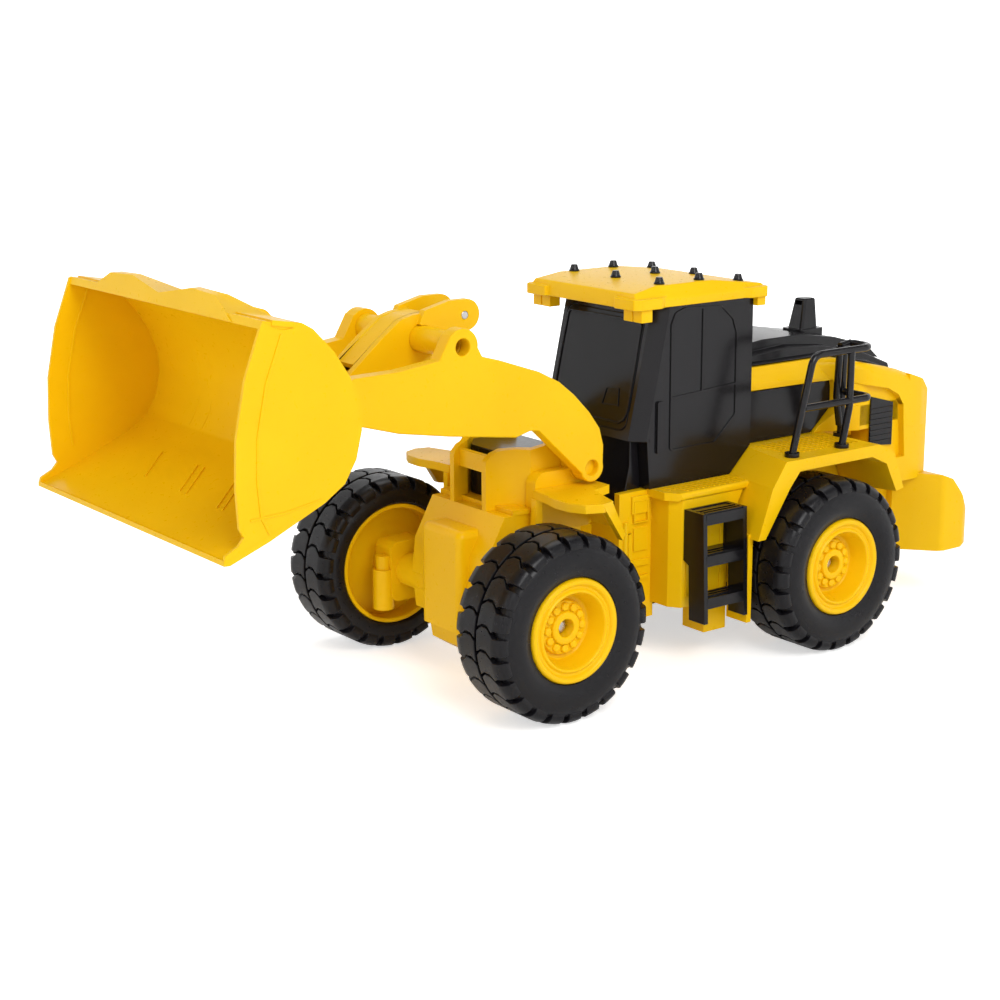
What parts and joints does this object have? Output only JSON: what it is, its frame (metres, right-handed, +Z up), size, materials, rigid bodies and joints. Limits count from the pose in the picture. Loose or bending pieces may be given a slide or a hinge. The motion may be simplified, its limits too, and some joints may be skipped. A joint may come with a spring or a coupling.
{
  "type": "toy front loader",
  "caption": "Toy wheel loader with articulated steering, lifting arms, a tilting bucket on a crank linkage, a closed cab and free-rolling wheels.",
  "frame": {"origin": "middle of the loader's footprint on the ground, with the loader standing straight and the bucket at its stored height", "axes": "+X forward towards the bucket, +Y to the loader's left, +Z up"},
  "size_m": [0.4972, 0.182, 0.2096],
  "materials": {
    "machine_yellow": "semi-gloss moulded",
    "dark_plastic": "satin moulded",
    "glazing_black": "smooth moulded",
    "steel": "plain",
    "tyre_rubber": "matt"
  },
  "bodies": {
    "rear_unit": {"rear_chassis": "machine_yellow", "belly_plate": "dark_plastic", "belly_screws": "steel", "rear_deck": "machine_yellow", "hood_shell": "machine_yellow", "hood_top": "dark_plastic", "exhaust_stack": "dark_plastic", "side_panel_left": "dark_plastic", "side_panel_right": "dark_plastic", "grille_left": "dark_plastic", "grille_right": "dark_plastic", "counterweight": "machine_yellow", "cab_shell": "dark_plastic", "windshield": "glazing_black", "cab_base": "dark_plastic", "roof": "machine_yellow", "roof_pegs": "dark_plastic", "roof_lamps": "machine_yellow", "guard_rail_left": "dark_plastic", "guard_rail_right": "dark_plastic", "ladder_left": "dark_plastic", "ladder_right": "dark_plastic", "axle_casing_rear": "machine_yellow", "axle_rod_rear": "steel", "axle_retainers_rear": "steel", "hitch_pin": "steel"},
    "front_unit": {"front_frame": "machine_yellow", "tower": "machine_yellow", "tower_core": "dark_plastic", "front_mudguard_left": "machine_yellow", "front_mudguard_right": "machine_yellow", "axle_casing_front": "machine_yellow", "axle_rod_front": "steel", "axle_retainers_front": "steel"},
    "lift_arms": {"lift_arm_left": "machine_yellow", "lift_arm_right": "machine_yellow", "cross_tube": "machine_yellow", "bucket_hinge_pins": "steel"},
    "bucket": {"bucket": "machine_yellow", "link_top_pin": "dark_plastic"},
    "bellcrank": {"bellcrank": "machine_yellow", "bellcrank_ear_pin": "steel", "link_foot_pin": "steel"},
    "tilt_link": {"tilt_link": "machine_yellow"},
    "wheel_front_left": {"tyre_front_left": "tyre_rubber", "rim_front_left": "machine_yellow"},
    "wheel_front_right": {"tyre_front_right": "tyre_rubber", "rim_front_right": "machine_yellow"},
    "wheel_rear_left": {"tyre_rear_left": "tyre_rubber", "rim_rear_left": "machine_yellow"},
    "wheel_rear_right": {"tyre_rear_right": "tyre_rubber", "rim_rear_right": "machine_yellow"}
  },
  "joints": [
    {"name": "steering", "type": "hinge", "parent": "rear_unit", "child": "front_unit", "pos_m": [0.0034, 0, 0.051], "axis": [0, 0, 1], "range_deg": [-24, 24]},
    {"name": "lift", "type": "hinge", "parent": "front_unit", "child": "lift_arms", "pos_m": [0.0218, 0, 0.1069], "axis": [0, -1, 0], "range_deg": [-27, 35]},
    {"name": "bucket_tilt", "type": "hinge", "parent": "lift_arms", "child": "bucket", "pos_m": [0.1664, 0, 0.1537], "axis": [0, 1, 0], "range_deg": [-45, 30]},
    {"name": "bellcrank_swing", "type": "hinge", "parent": "lift_arms", "child": "bellcrank", "pos_m": [0.0984, 0, 0.1736], "axis": [0, 1, 0], "range_deg": [-2.5, 3.6]},
    {"name": "link_swing", "type": "hinge", "parent": "bucket", "child": "tilt_link", "pos_m": [0.1837, 0, 0.1885], "axis": [0, 1, 0], "range_deg": [-8.6, 12.8]},
    {"name": "spin_front_left", "type": "hinge", "parent": "front_unit", "child": "wheel_front_left", "pos_m": [0.0694, 0, 0.045], "axis": [0, 1, 0], "continuous": true},
    {"name": "spin_front_right", "type": "hinge", "parent": "front_unit", "child": "wheel_front_right", "pos_m": [0.0694, 0, 0.045], "axis": [0, 1, 0], "continuous": true},
    {"name": "spin_rear_left", "type": "hinge", "parent": "rear_unit", "child": "wheel_rear_left", "pos_m": [-0.1072, 0, 0.045], "axis": [0, 1, 0], "continuous": true},
    {"name": "spin_rear_right", "type": "hinge", "parent": "rear_unit", "child": "wheel_rear_right", "pos_m": [-0.1072, 0, 0.045], "axis": [0, 1, 0], "continuous": true}
  ],
  "couplings": [
    {"joint": "bellcrank_swing", "follows": "bucket_tilt", "ratio": -0.075},
    {"joint": "link_swing", "follows": "bucket_tilt", "ratio": -0.278}
  ]
}
